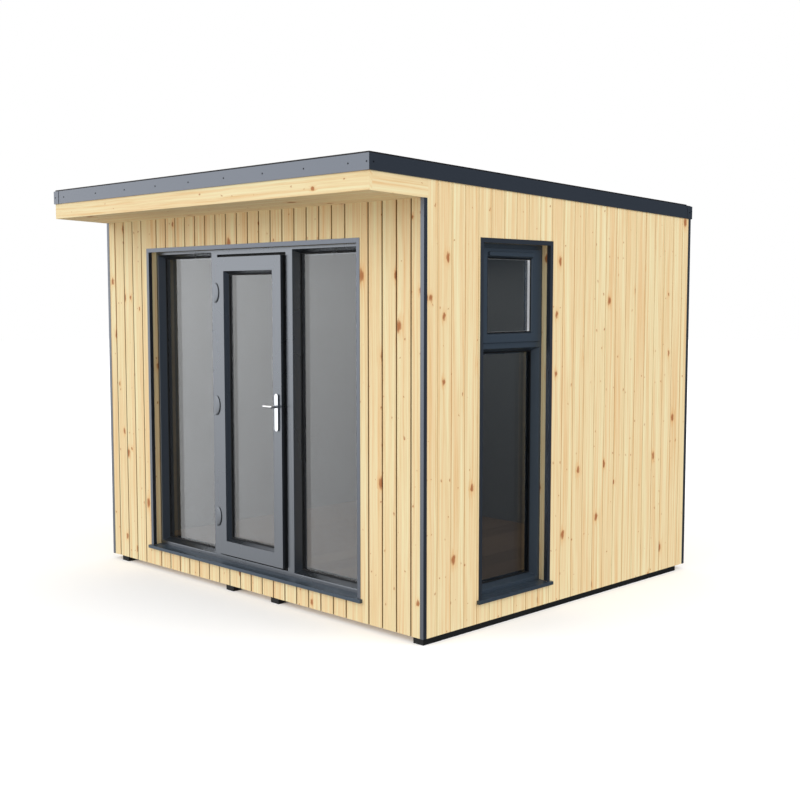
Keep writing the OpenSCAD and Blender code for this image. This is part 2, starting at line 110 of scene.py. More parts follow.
FALL = math.tan(math.radians(2))  # slope of the roof
EDGE_DROP = 0.090  # from the roof's top to the foot of the metal trim
FASCIA_DROP = 0.185  # from the roof's top to the foot of the fascia
MEMBRANE_EDGE = 0.009  # membrane that shows above the metal trim
MULLION_EDGE = 0.408  # from the middle of the entrance to the side lights
TRANSOM = 0.053  # face of the window's transom
VENT_SIDE, VENT_RAIL = 0.074, 0.052  # from the vent sash's edges to its pane
INNER_PANE, PANE_THICK = 0.020, 0.004  # depth behind the outer face, and thickness

HAIRLINE = 0.00002  # half the space between two boards that touch
NARROWEST, SLIVER = 0.012, 0.008  # a board's joint this near an edge, and a strip this thin, go
ROUND = np.radians(np.array([0, 30, 60, 90]))  # steps round a board's edge
SHARP_FROM = math.radians(38)  # smooth pieces keep an edge from this angle on


def roof_height(depth):
    """Height of the roof's top surface: a plane that falls from the front edge to the back."""
    return ROOF_TOP - (depth - ROOF_FRONT) * FALL


# ---- sizes and colours ----


def length(name, description, default, low, high):
    """A length that a user can change, in metres."""
    return bpy.props.FloatProperty(
        name=name, description=description, default=default, min=low, max=high,
        subtype="DISTANCE", unit="LENGTH")


def tint(name, description, default):
    """A colour that a user can change."""
    return bpy.props.FloatVectorProperty(
        name=name, description=description, default=default, size=3, min=0, max=1,
        subtype="COLOR")


def strength(name, description, default, high=5):
    """A strength of light that a user can change."""
    return bpy.props.FloatProperty(
        name=name, description=description, default=default, min=0, max=high)


class PodBoards(bpy.types.PropertyGroup):
    """Timber boards on the walls and the canopy."""

    gap: length("Shadow gap", "Width of the gap between two boards", 0.010, 0.002, 0.02)
    side_gap: length(
        "Side shadow gap", "Width of the gap between two boards on the sides", 0.005, 0.001, 0.02)
    groove: length(
        "Groove depth", "Depth of the gap behind the boards' faces", 0.013, 0.003, 0.015)
    side_groove: length(
        "Side groove depth", "Depth of the gap on the two sides", 0.003, 0.001, 0.015)
    edge: length("Board edge", "Radius of a board's long edges", 0.002, 0.0005, 0.005)
    front_pitch: length(
        "Front pitch", "From one board to the next on the front and back", 0.106, 0.06, 0.2)
    side_pitch: length(
        "Side pitch", "From one board to the next on the sides", 0.1053, 0.06, 0.2)
    pale: tint("Pale timber", "Colour of the palest boards", linear(243, 231, 186))
    warm: tint("Warm timber", "Colour of the warmest boards", linear(238, 204, 153))
    knot: tint("Knots", "Colour of the middle of a knot", linear(168, 98, 52))


class PodMetal(bpy.types.PropertyGroup):
    """Coated metal of the frames, trims and sills."""

    frame: tint("Frames", "Colour of the coat on the frames and the door", (0.180, 0.193, 0.213))
    # painted shade: the frames' coat again, as a darker, more matt copy that paints in the darker
    # look the light gives the side window and the sills
    window: tint("Side window", "Colour of the side window and sills", (0.064, 0.088, 0.118))
    trim: tint("Trims", "Colour of the folded trims", (0.142, 0.156, 0.182))
    soft_edge: length("Soft edge", "Radius of the frames' edges", 0.0025, 0.0005, 0.006)
    chrome: tint("Chrome", "Colour of the polished handle", (0.86, 0.87, 0.89))


class PodRoom(bpy.types.PropertyGroup):
    """Glass and the finishes inside."""

    glass: tint("Glass tint", "Tint that the glass gives to what is behind it", (0.87, 0.89, 0.91))
    lining: tint("Lining", "Colour of the walls and the ceiling inside", linear(150, 150, 144))
    laminate: tint("Floor", "Colour of the laminate floor", linear(176, 144, 112))
    plank: length("Plank width", "Width of one plank of the floor", 0.19, 0.08, 0.3)


class PodStage(bpy.types.PropertyGroup):
    """Camera, lights and floor of the studio."""

    azimuth: bpy.props.FloatProperty(
        name="Azimuth", description="Direction of the camera round the building",
        default=math.radians(44.91), subtype="ANGLE", unit="ROTATION")
    elevation: bpy.props.FloatProperty(
        name="Elevation", description="Angle that the camera looks down by",
        default=math.radians(4.945), subtype="ANGLE", unit="ROTATION")
    place: bpy.props.FloatVectorProperty(
        name="Camera", description="Where the camera stands", default=(5.635, -5.394, 1.799),
        size=3, subtype="TRANSLATION", unit="LENGTH")
    lens: bpy.props.FloatProperty(
        name="Lens", description="Focal length in millimetres", default=53.14, min=10, max=200)
    dome: strength("Dome", "Strength of the even light from all round", 0.90)
    key: strength("Key", "Strength of the soft light on the front", 0.36)
    fill: strength("Fill", "Strength of the soft light on the right side", 0.36)
    room: strength("Room lamp", "Power of the lamp under the ceiling, in watts", 6.0, 500)
    bright: strength("Bright side", "What polished faces mirror at the front left", 1.9, 10)
    dark: strength("Dark side", "What polished faces mirror at the back right", 0.17, 10)


# ---- meshes from whole arrays ----


def grid(*parts):
    """Points whose coordinates are the given arrays, spread to one common shape."""
    return np.stack(np.broadcast_arrays(*parts), axis=-1)


def put(name, points, corners, sizes, finish, body="root", slot="anthracite_frame", replaces=(),
        grain=None, marks=None, smooth=False):
    """Puts arrays of points, face corners and face sizes into one mesh object on the frame.

    grain holds a place in the timber for each point, across and along the board. marks holds
    named numbers for each point, such as the tone that sets its board apart from the next.
    """
    mesh = bpy.data.meshes.new(name)
    points = np.asarray(points, np.float32).reshape(-1, 3)
    corners = np.asarray(corners, np.int32).ravel()
    sizes = np.asarray(sizes, np.int32).ravel()
    starts = np.concatenate(([0], np.cumsum(sizes)[:-1])).astype(np.int32)
    mesh.vertices.add(len(points))
    mesh.vertices.foreach_set("co", points.ravel())
    mesh.loops.add(len(corners))
    mesh.loops.foreach_set("vertex_index", corners)
    mesh.polygons.add(len(sizes))
    mesh.polygons.foreach_set("loop_start", starts)
    mesh.update(calc_edges=True)
    if grain is not None:
        layer = mesh.uv_layers.new(name="grain")
        layer.data.foreach_set("uv", np.asarray(grain, np.float32)[corners].ravel())
    for label, values in (marks or {}).items():
        layer = mesh.attributes.new(label, "FLOAT", "POINT")
        layer.data.foreach_set("value", np.asarray(values, np.float32).ravel())
    mesh.validate()
    shell = bmesh.new()
    shell.from_mesh(mesh)
    bmesh.ops.recalc_face_normals(shell, faces=shell.faces)
    shell.to_mesh(mesh)
    shell.free()
    if smooth:
        mesh.shade_smooth()
        mesh.set_sharp_from_angle(angle=SHARP_FROM)
    else:
        mesh.shade_flat()
    return hook(bpy.data.objects.new(name, mesh), finish, body, replaces)


def hook(piece, finish, body, replaces=()):
    """Links a piece to the scene, gives it its material and ties it to its CAD body."""
    bpy.context.scene.collection.objects.link(piece)
    piece.data.materials.clear()
    piece.data.materials.append(finish)
    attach(piece, body)
    if replaces:
        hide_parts(*replaces)
    return piece


def dress(finish, *nodes):
    """Gives the objects of CAD nodes their material in every slot."""
    for node in nodes:
        piece = frame["nodes"][node]
        if not piece.material_slots:
            piece.data.materials.append(finish)
        for place in piece.material_slots:
            place.material = finish


def loft(rings, path_closed=False):
    """Faces of tubes: rings is (tubes, stations, points, 3), each point joined to the next one
    round its ring and to the same one on the next ring; open tubes get a flat cap at each end."""
    tubes, stations, count, _ = rings.shape
    index = np.arange(tubes * stations * count).reshape(tubes, stations, count)
    here = index if path_closed else index[:, :-1]
    there = np.roll(index, -1, axis=1) if path_closed else index[:, 1:]
    quads = np.stack([here, np.roll(here, -1, axis=2), np.roll(there, -1, axis=2), there], axis=-1)
    corners = [quads.ravel()]
    sizes = [np.full(quads.size // 4, 4)]
    if not path_closed:
        corners += [index[:, 0, ::-1].ravel(), index[:, -1].ravel()]
        sizes += [np.full(2 * tubes, count)]
    return np.concatenate(corners), np.concatenate(sizes)


def scatter(count, seed):
    """Numbers from 0 to 1 that look random and are always the same: the fraction of a large
    sine."""
    steps = np.arange(count) + seed
    return np.modf(np.abs(np.sin(steps * 12.9898) * 43758.5453))[0]


def board_run(columns, wall, foot, head, gap, groove, edge, thick, seed, darkening=1.0):
    """Boards side by side, each a profile with rounded edges carried from its foot to its head.

    columns is (boards, 4): start, end, and whether each side has a shadow gap. A profile point's
    place across is the board's start or end plus or minus a share of the gap; its depth runs
    from the face to the back. wall turns (across, depth, height) into a place; foot and head give
    the height at a place across and a depth; darkening is how strongly painted shade darkens the
    timber in the gaps.
    """
    start, end, left, right = (columns[:, k, None] for k in range(4))
    side = np.array([0, 0, 1, 1, 1, 1, 1, 1])
    inset = np.concatenate((np.zeros(4), edge * (1 - np.cos(ROUND))))
    ramp = np.concatenate(([thick, groove, groove, groove * 0.6], edge * (1 - np.sin(ROUND))))
    near = (start + side * (gap / 2 * left + HAIRLINE * (1 - left))
            + inset * np.where(left > 0, 1, 0.02))
    far = (end - side * (gap / 2 * right + HAIRLINE * (1 - right))
           - inset * np.where(right > 0, 1, 0.02))
    across = np.concatenate([near, far[:, ::-1]], axis=1)
    ramp = np.concatenate([ramp, ramp[::-1]])
    depth = np.broadcast_to(ramp, across.shape)
    low, high = foot(across, depth), head(across, depth)
    rings = np.stack([wall(across, depth, low), wall(across, depth, high)], axis=1)
    shift = scatter(len(columns), seed)[:, None]
    other = scatter(len(columns), seed + 57)[:, None]
    # the grain goes on round the edges into the gaps
    reach = across - start + ramp * np.repeat([-1, 1], len(side)) + shift * 9 + 3
    grain = grid(reach[:, None], np.stack([low, high], axis=1) + other[:, None] * 17)
    tone = np.broadcast_to(other[:, :, None], rings.shape[:3])
    # painted shade: the timber past the rounded edge, inside each gap, is marked to be darkened in
    # place of the shadow there
    recess = np.broadcast_to(darkening * (ramp > edge * 1.2), rings.shape[:3])
    return rings, grain, tone, recess


def put_boards(name, runs, node):
    """Joins the runs of one wall into one piece of pine, which stands for a CAD node."""
    pine = material("pine_boards")
    dress(pine, node)
    points, grain, tone, recess = (
        np.concatenate([part.reshape(-1, width) for part in parts])
        for parts, width in zip(zip(*runs), (3, 2, 1, 1)))
    faces, counts = zip(*(loft(rings) for rings, *_ in runs))
    starts = np.cumsum([0] + [rings.size // 3 for rings, *_ in runs])
    corners = np.concatenate([face + start for face, start in zip(faces, starts)])
    return put(name, points, corners, np.concatenate(counts), pine, slot="pine",
               replaces=[node], grain=grain, marks={"tone": tone, "recess": recess})


def split(low, high, joints):
    """Board columns between two limits: an edge at each joint in between, a gap at every joint."""
    inside = joints[(joints > low + NARROWEST) & (joints < high - NARROWEST)]
    edges = np.concatenate(([low], inside, [high]))
    gaps = np.ones(len(edges))
    gaps[[0, -1]] = 0
    return np.stack([edges[:-1], edges[1:], gaps[:-1], gaps[1:]], axis=1)


def trimmed(columns, low, high):
    """The board columns cut to a stretch of the wall: a cut side has no gap of its own."""
    start = np.maximum(columns[:, 0], low)
    end = np.minimum(columns[:, 1], high)
    left = np.where(columns[:, 0] < low, 0, columns[:, 2])
    right = np.where(columns[:, 1] > high, 0, columns[:, 3])
    return np.stack([start, end, left, right], axis=1)[end - start > SLIVER]


def screw_heads(name, places, facing, radius, height, finish, slot):
    """Round screw heads: a quarter of an ellipse turned about each screw's axis, with a flat
    back."""
    turn = np.linspace(0, 2 * np.pi, 14, endpoint=False)
    lift = np.array([-0.3, 0.35, 0.75, 0.97, 1.0])
    width = np.array([1.0, 1.0, 0.72, 0.34, 0.06])
    places = np.asarray(places, float)
    facing = np.asarray(facing, float)
    side = np.cross([[0, 0, 1.0]], facing)
    side /= np.linalg.norm(side, axis=1, keepdims=True)
    up = np.cross(facing, side)
    rings = (places[:, None, None]
             + facing[:, None, None] * height * lift[None, :, None, None]
             + radius * width[None, :, None, None]
             * (side[:, None, None] * np.cos(turn)[None, None, :, None]
                + up[:, None, None] * np.sin(turn)[None, None, :, None]))
    return put(name, rings, *loft(rings), finish, slot=slot, smooth=True)


def put_rings(name, openings, profile, finish, body="root", slot="anthracite_frame"):
    """Strips with mitred corners round openings, as one piece: the profile (inwards, depth) is
    carried round each rectangle, its points moved inwards along both sides at each corner."""
    strips = []
    for (low, high), face, wall in openings:
        inward, depth = profile(face).T
        x = np.stack([low[0] + inward, high[0] - inward, high[0] - inward, low[0] + inward])
        z = np.stack([low[1] + inward, low[1] + inward, high[1] - inward, high[1] - inward])
        strips.append(wall(x, depth, z))
    rings = np.stack(strips)
    return put(name, rings, *loft(rings, path_closed=True), finish, body, slot)


def put_panes(name, openings, body="root"):
    """Inner panes: each a flat outline carried through the pane's thickness."""
    panes = []
    for (low, high), face, wall in openings:
        x = np.array([low[0], high[0], high[0], low[0]])
        z = np.array([low[1], low[1], high[1], high[1]])
        depth = face + INNER_PANE + np.array([[0], [PANE_THICK]])
        panes.append(wall(x, depth, z))
    rings = np.stack(panes)
    return put(name, rings, *loft(rings), material("glazing"), body, "glass")


def soften(node, width, finish, body="root", segments=3):
    """A copy of a CAD node with its loose triangles joined, flat faces made whole and edges
    rounded; large faces keep their own normals."""
    shell = bmesh.new()
    shell.from_mesh(frame["nodes"][node].data)
    bmesh.ops.remove_doubles(shell, verts=shell.verts, dist=2e-5)
    bmesh.ops.dissolve_limit(shell, angle_limit=math.radians(0.5), verts=shell.verts,
                             edges=shell.edges, delimit={"NORMAL"})
    name = node + "_soft"
    mesh = bpy.data.meshes.new(name)
    shell.to_mesh(mesh)
    shell.free()
    mesh.shade_smooth()
    mesh.set_sharp_from_angle(angle=math.radians(12))
    piece = bpy.data.objects.new(name, mesh)
    rounding = piece.modifiers.new("Rounded edges", "BEVEL")
    rounding.width = width
    rounding.segments = segments
    rounding.limit_method = "ANGLE"
    rounding.angle_limit = math.radians(25)
    rounding.harden_normals = True
    rounding.miter_outer = "MITER_ARC"
    shading = piece.modifiers.new("Flat faces", "WEIGHTED_NORMAL")
    shading.weight = 100
    shading.keep_sharp = True
    dress(finish, node)
    return hook(piece, finish, body, [node])


# ---- walls as frames of reference ----


def front_wall(across, depth, height):
    """Across runs along +X, depth inwards from the front cladding's face."""
    return grid(across, FRONT_LOW[1] + depth, height)


def back_wall(across, depth, height):
    """Across runs along -X, depth inwards from the back cladding's face."""
    return grid(-across, BACK_HIGH[1] - depth, height)


def right_wall(across, depth, height):
    """Across runs along +Y, depth inwards from the right cladding's face."""
    return grid(SIDE_HIGH[0] - depth, across, height)


def left_wall(across, depth, height):
    """Across runs along -Y, depth inwards from the left cladding's face."""
    return grid(depth - SIDE_HIGH[0], -across, height)


def soffit(across, depth, along):
    """Across runs along +Y, depth upwards from the canopy's underside."""
    return grid(along, across, roof_height(across) - FASCIA_DROP + depth)


def level(height):
    """An end of boards at one height."""
    return lambda across, depth: np.full(across.shape, height)


def under_roof(wall, drop):
    """An end of boards that keeps the same drop below the roof's top as the roof falls."""
    return lambda across, depth: roof_height(wall(across, depth, 0)[..., 1]) - drop


# ---- shader steps ----


def feed(tree, node, inputs):
    """Sets or links a shader node's inputs."""
    for key, value in inputs.items():
        if isinstance(value, bpy.types.NodeSocket):
            tree.links.new(value, node.inputs[key])
        else:
            node.inputs[key].default_value = value


def add(tree, kind, inputs=None, **settings):
    """Adds a shader node, sets its settings and feeds its inputs."""
    node = tree.nodes.new(kind)
    for key, value in settings.items():
        setattr(node, key, value)
    feed(tree, node, inputs or {})
    return node


def maths(tree, operation, first, second=0.0, third=0.0, clamp=False):
    """One arithmetic step in a shader."""
    return add(tree, "ShaderNodeMath", {0: first, 1: second, 2: third}, operation=operation,
               use_clamp=clamp).outputs[0]


def vectors(tree, operation, first, second):
    """One step of vector arithmetic in a shader."""
    return add(tree, "ShaderNodeVectorMath", {0: first, 1: second},
               operation=operation).outputs[0]


def dimmed(tree, shade, by):
    """A colour times a number."""
    return add(tree, "ShaderNodeVectorMath", {0: shade, "Scale": by},
               operation="SCALE").outputs[0]


def blend_colours(tree, factor, first, second, mode="MIX"):
    """One colour mixed into another."""
    return add(tree, "ShaderNodeMix", {0: factor, 6: first, 7: second}, data_type="RGBA",
               blend_type=mode).outputs[2]


def darkened(tree, factor, shade, darkening):
    """A colour multiplied by a darker colour, as far as the factor says: for marks in the grain, and
    for the painted shade in the board gaps.
    """
    return blend_colours(tree, factor, shade,
                         blend_colours(tree, 1.0, shade, (*darkening, 1), "MULTIPLY"))


def noise(tree, place, scale, detail, roughness=0.5, dimensions="3D"):
    """Soft random noise; its outputs are a value and a colour."""
    return add(tree, "ShaderNodeTexNoise", {
        "Vector": place, "Scale": scale, "Detail": detail, "Roughness": roughness},
        noise_dimensions=dimensions).outputs


def streaks(tree, place, factors, detail, roughness=0.5):
    """Noise on a flat place whose two directions are scaled apart."""
    return noise(tree, vectors(tree, "MULTIPLY", place, factors), 1.0, detail, roughness, "2D")


def colour(values):
    """A property's three values as four."""
    return (*values[:3], 1.0)


def object_place(tree):
    """Object coordinates, in metres."""
    return add(tree, "ShaderNodeTexCoord").outputs["Object"]


def new_group(name, inputs, outputs):
    """An empty shader node group with named inputs and outputs."""
    tree = bpy.data.node_groups.new(name, "ShaderNodeTree")
    for label, kind, default in inputs:
        socket = tree.interface.new_socket(
            label, in_out="INPUT", socket_type="NodeSocket" + kind)
        socket.default_value = default
    for label, kind in outputs:
        tree.interface.new_socket(label, in_out="OUTPUT", socket_type="NodeSocket" + kind)
    return tree, tree.nodes.new("NodeGroupInput").outputs, tree.nodes.new("NodeGroupOutput")


# ---- effects that materials share ----


def spots(tree, place, factors, smallest, largest, share):
    """Round spots, one in some of the cells of a pattern: how deep a place lies in its spot, and
    in a soft halo two and a half times as wide."""
    cells = add(tree, "ShaderNodeTexVoronoi", {
        "Vector": vectors(tree, "MULTIPLY", place, factors), "Scale": 1.0, "Randomness": 0.9},
        voronoi_dimensions="2D")
    parts = add(tree, "ShaderNodeSeparateColor", {0: cells.outputs["Color"]})
    radius = maths(tree, "MULTIPLY_ADD", parts.outputs[0], largest - smallest, smallest)
    present = maths(tree, "LESS_THAN", parts.outputs[1], share)
    near = maths(tree, "DIVIDE", cells.outputs["Distance"], radius)
    core = maths(tree, "MULTIPLY_ADD", near, -2.2, 2.2, clamp=True)
    halo = maths(tree, "MULTIPLY_ADD", near, -0.4, 1.0, clamp=True)
    return maths(tree, "MULTIPLY", core, present), maths(tree, "MULTIPLY", halo, present)


def pine_group():
    """Sawn pine: fine streaks along the board, slow changes of tone, knots with a soft halo, and
    small dark specks. Place is across and along the board in metres."""
    tree, inside, outside = new_group("Pine grain", [
        ("Place", "Vector", (0, 0, 0)), ("Tone", "Float", 0.5), ("Pale", "Color", (1, 1, 1, 1)),
        ("Warm", "Color", (1, 1, 1, 1)), ("Knot", "Color", (0, 0, 0, 1)),
        ("Streaks", "Float", 0.5)],
        [("Color", "Color"), ("Height", "Float"), ("Roughness", "Float")])
    place = inside["Place"]
    # knots and specks with uneven outlines
    wobble = vectors(tree, "SUBTRACT", streaks(tree, place, (45, 30, 1), 2.0)[1], (0.5, 0.5, 0.5))
    uneven = vectors(tree, "ADD", place, vectors(tree, "MULTIPLY", wobble, (0.016, 0.030, 0)))
    knots, halo = spots(tree, uneven, (5.2, 3.0, 1), 0.035, 0.12, 0.32)
    specks, glow = spots(tree, uneven, (15, 10, 1), 0.03, 0.085, 0.22)
    # the grain swings round the knots
    sway = streaks(tree, place, (3.0, 1.5, 1), 2.0)[0]
    shift = maths(tree, "MULTIPLY_ADD", sway, 0.02, maths(tree, "MULTIPLY", halo, 0.012))
    bent = vectors(tree, "ADD", place,
                   add(tree, "ShaderNodeCombineXYZ", {0: shift}).outputs[0])
    fine = streaks(tree, bent, (260, 5.0, 1), 3.0, 0.6)[0]
    bands = streaks(tree, bent, (72, 0.9, 1), 2.0)[0]
    slow = streaks(tree, bent, (22, 0.7, 1), 2.0)[0]
    swings = maths(tree, "ADD", maths(tree, "MULTIPLY", slow, 1.5),
                   maths(tree, "MULTIPLY", bands, 1.3))
    warmth = maths(tree, "ADD", maths(tree, "MULTIPLY_ADD", inside["Tone"], 0.22, -0.98), swings,
                   clamp=True)
    body = blend_colours(tree, warmth, inside["Pale"], inside["Warm"])
    line = maths(tree, "ADD", maths(tree, "MULTIPLY_ADD", fine, 2.2, -1.1),
                 maths(tree, "MULTIPLY_ADD", bands, 1.8, -0.9))
    dark = maths(tree, "MULTIPLY", maths(tree, "ADD", line, 0.12), inside["Streaks"], clamp=True)
    streaked = darkened(tree, dark, body, (0.80, 0.64, 0.42))
    ring = maths(tree, "MULTIPLY", maths(tree, "POWER", halo, 1.6), 0.75)
    haloed = darkened(tree, ring, streaked, (0.90, 0.60, 0.36))
    knotted = blend_colours(tree, maths(tree, "MULTIPLY", knots, 0.85), haloed, inside["Knot"])
    speckled = darkened(tree, maths(tree, "MULTIPLY", glow, 0.25), knotted, (0.90, 0.62, 0.40))
    feed(tree, outside, {
        "Color": blend_colours(tree, maths(tree, "MULTIPLY", specks, 0.7), speckled,
                               inside["Knot"]),
        "Height": maths(tree, "SUBTRACT", maths(tree, "MULTIPLY", line, 0.4),
                        maths(tree, "MULTIPLY", knots, 0.5)),
        "Roughness": maths(tree, "MULTIPLY_ADD", fine, 0.2, 0.5)})
    return tree


def coat_group():
    """Sprayed coat on metal: slow changes of shade and of roughness, and a fine orange-peel
    texture. Place is in metres."""
    tree, inside, outside = new_group("Sprayed coat", [
        ("Place", "Vector", (0, 0, 0)), ("Base", "Color", (1, 1, 1, 1)), ("Shade", "Float", 0.06),
        ("Roughness", "Float", 0.35), ("Peel", "Float", 420.0)],
        [("Color", "Color"), ("Roughness", "Float"), ("Height", "Float")])
    slow = noise(tree, inside["Place"], 1.7, 3.0)[0]
    swing = maths(tree, "MULTIPLY", maths(tree, "MULTIPLY_ADD", slow, 2.0, -1.0), inside["Shade"])
    feed(tree, outside, {
        "Color": dimmed(tree, inside["Base"], maths(tree, "ADD", swing, 1.0)),
        "Roughness": maths(tree, "MULTIPLY_ADD", slow, 0.12,
                           maths(tree, "ADD", inside["Roughness"], -0.06)),
        "Height": noise(tree, inside["Place"], inside["Peel"], 1.0)[0]})
    return tree


def group(name, builder):
    """A node group, built the first time that it is asked for."""
    return bpy.data.node_groups.get(name) or builder()


# ---- materials ----


def fresh(name):
    """A new material with one Principled shader."""
    made = bpy.data.materials.new(name)
    made.use_nodes = True
    tree = made.node_tree
    tree.nodes.clear()
    shader = add(tree, "ShaderNodeBsdfPrincipled")
    add(tree, "ShaderNodeOutputMaterial", {"Surface": shader.outputs[0]})
    return made, tree, shader


def bump(tree, height, by, distance):
    """A height as a bumpy normal."""
    return add(tree, "ShaderNodeBump", {
        "Height": height, "Strength": by, "Distance": distance}).outputs[0]


def pine_finish(name, place_of, tone_of, recess_of=None):
    """Pine from the shared grain group, on the place and the tone that two functions give; where
    a third gives the depth in a groove, the timber there is darkened by painted shade."""
    boards = bpy.context.scene.pod_boards
    made, tree, shader = fresh(name)
    grain = add(tree, "ShaderNodeGroup", {
        "Place": place_of(tree), "Tone": tone_of(tree), "Pale": colour(boards.pale),
        "Warm": colour(boards.warm), "Knot": colour(boards.knot), "Streaks": 0.5},
        node_tree=group("Pine grain", pine_group))
    shade = grain.outputs["Color"]
    if recess_of:
        # painted shade: a brown multiply darkens the timber deep in the gaps, in place of the shadow
        # there
        shade = darkened(tree, recess_of(tree), shade, (0.36, 0.27, 0.18))
    feed(tree, shader, {
        "Base Color": shade, "Roughness": grain.outputs["Roughness"], "Specular IOR Level": 0.3,
        "Normal": bump(tree, grain.outputs["Height"], 0.35, 0.0006)})
    return made


def board_pine(name):
    """Pine that follows each board's own grain map."""
    def mark(label):
        return lambda tree: add(tree, "ShaderNodeAttribute", attribute_name=label).outputs["Fac"]
    return pine_finish(name, lambda tree: add(tree, "ShaderNodeUVMap", uv_map="grain").outputs[0],
                       mark("tone"), mark("recess"))


def liner_pine(name):
    """Pine on upright liners, its grain running along Z."""
    def place(tree):
        parts = add(tree, "ShaderNodeSeparateXYZ", {0: object_place(tree)})
        wide = maths(tree, "ADD", parts.outputs[0], parts.outputs[1])
        return add(tree, "ShaderNodeCombineXYZ", {0: wide, 1: parts.outputs[2]}).outputs[0]
    return pine_finish(name, place, lambda tree: 0.35)


# Each coat's colour, or the setting that holds it, then how metallic and how rough it is, the
# fineness and strength of its texture, and how much its shade changes.
COATS = {
    "anthracite_frame": ("pod_metal.frame", 0.92, 0.28, 420.0, 0.05, 0.06),
    # painted shade: a darker, more matt copy of the frames' coat, for the side window and the sills
    "anthracite_shaded_copy": ("pod_metal.window", 0.5, 0.32, 420.0, 0.05, 0.06),
    "anthracite_trim": ("pod_metal.trim", 0.90, 0.33, 300.0, 0.08, 0.06),
    "chrome": ("pod_metal.chrome", 1.0, 0.14, 900.0, 0.02, 0.02),
    "screw_metal": ((0.055, 0.060, 0.072), 0.9, 0.35, 500.0, 0.05, 0.06),
    "spacer_painted_glow": ((0.90, 0.90, 0.90), 0.0, 0.35, 500.0, 0.02, 0.02),
    "rubber": ((0.012, 0.012, 0.013), 0.0, 0.62, 700.0, 0.1, 0.06),
    "membrane": ((0.014, 0.014, 0.016), 0.0, 0.7, 160.0, 0.5, 0.25),
    "bearer_timber": ((0.010, 0.010, 0.010), 0.0, 0.8, 90.0, 0.5, 0.3),
    "structure_board": (linear(178, 146, 100), 0.0, 0.75, 120.0, 0.4, 0.2),
    "lining_paint": ("pod_room.lining", 0.0, 0.6, 240.0, 0.1, 0.02),
}


def coated(name):
    """Metal, paint, rubber or treated board from the shared coat group."""
    base, metallic, roughness, peel, depth, shade = COATS[name]
    if isinstance(base, str):
        base = bpy.context.scene.path_resolve(base)
    made, tree, shader = fresh(name)
    coat = add(tree, "ShaderNodeGroup", {
        "Place": object_place(tree), "Base": colour(base), "Shade": shade,
        "Roughness": roughness, "Peel": peel}, node_tree=group("Sprayed coat", coat_group))
    feed(tree, shader, {
        "Base Color": coat.outputs["Color"], "Roughness": coat.outputs["Roughness"],
        "Metallic": metallic, "Normal": bump(tree, coat.outputs["Height"], depth, 0.0003)})
    return made


def spacer_glow_finish(name):
    """Bright spacer bar of the vent's double glazing, with a painted glow: it emits light that stands
    in for the light caught between the panes.
    """
    made = coated(name)
    # painted glow: emission makes the bar shine though it is no lamp
    feed(made.node_tree, made.node_tree.nodes["Principled BSDF"], {
        "Emission Color": (1, 1, 1, 1), "Emission Strength": 0.45})
    return made


def laminate_finish(name):
    """Laminate planks along Y: each plank's tone from its number across, thin dark joints, and
    grain."""
    room = bpy.context.scene.pod_room
    made, tree, shader = fresh(name)
    across, along, _ = add(tree, "ShaderNodeSeparateXYZ", {0: object_place(tree)}).outputs
    number = maths(tree, "DIVIDE", across, room.plank)
    tone = add(tree, "ShaderNodeTexWhiteNoise", {"W": maths(tree, "FLOOR", number)},
               noise_dimensions="1D").outputs[0]
    along = maths(tree, "ADD", along, maths(tree, "MULTIPLY", tone, 7.0))
    place = add(tree, "ShaderNodeCombineXYZ", {0: across, 1: along}).outputs[0]
    grain = streaks(tree, place, (70, 2.2, 1), 4.0)[0]
    shade = maths(tree, "ADD", maths(tree, "MULTIPLY_ADD", tone, 0.3, 0.62),
                  maths(tree, "MULTIPLY", grain, 0.45))
    seam = maths(tree, "COMPARE", maths(tree, "FRACT", number), 0.0, 0.012)
    shade = maths(tree, "MULTIPLY", shade, maths(tree, "MULTIPLY_ADD", seam, -0.6, 1.0))
    feed(tree, shader, {
        "Base Color": dimmed(tree, tuple(room.laminate), shade), "Roughness": 0.42,
        "Normal": bump(tree, shade, 0.15, 0.0005)})
    return made


def glass_finish(name):
    """Tinted glazing, plain and fully clear to light, with the faintest change of shade."""
    made, tree, shader = fresh(name)
    haze = maths(tree, "MULTIPLY_ADD", noise(tree, object_place(tree), 1.4, 1.0)[0], 0.02, 0.99)
    feed(tree, shader, {
        "Base Color": dimmed(tree, tuple(bpy.context.scene.pod_room.glass), haze),
        "Metallic": 0.0, "Roughness": 0.0, "IOR": 1.52, "Transmission Weight": 1.0})
    return made


def floor_finish(name):
    """White studio floor: to the camera it is a white surface that glows a little, as an overlit
    cove does; to the building it gives an even light from below."""
    made, tree, shader = fresh(name)
    slow = noise(tree, object_place(tree), 0.4, 2.0)[0]
    seen = add(tree, "ShaderNodeLightPath").outputs["Is Camera Ray"]
    white = maths(tree, "MULTIPLY", seen, maths(tree, "MULTIPLY_ADD", slow, 0.01, 0.90))
    feed(tree, shader, {
        "Base Color": dimmed(tree, (1, 1, 1), white), "Roughness": 0.8,
        "Specular IOR Level": 0.0, "Emission Color": (1, 1, 1, 1),
        "Emission Strength": maths(tree, "MULTIPLY_ADD", seen, -0.40, 0.53)})
    made.cycles.emission_sampling = "NONE"
    return made


BUILDERS = {
    "pine_boards": board_pine, "pine_liner": liner_pine, "spacer_painted_glow": spacer_glow_finish,
    "laminate": laminate_finish, "glazing": glass_finish, "studio_white": floor_finish,
}
MADE = {}


def material(name):
    """A material, built the first time that it is asked for."""
    if name not in MADE:
        MADE[name] = BUILDERS.get(name, coated)(name)
    return MADE[name]


# ---- operators ----


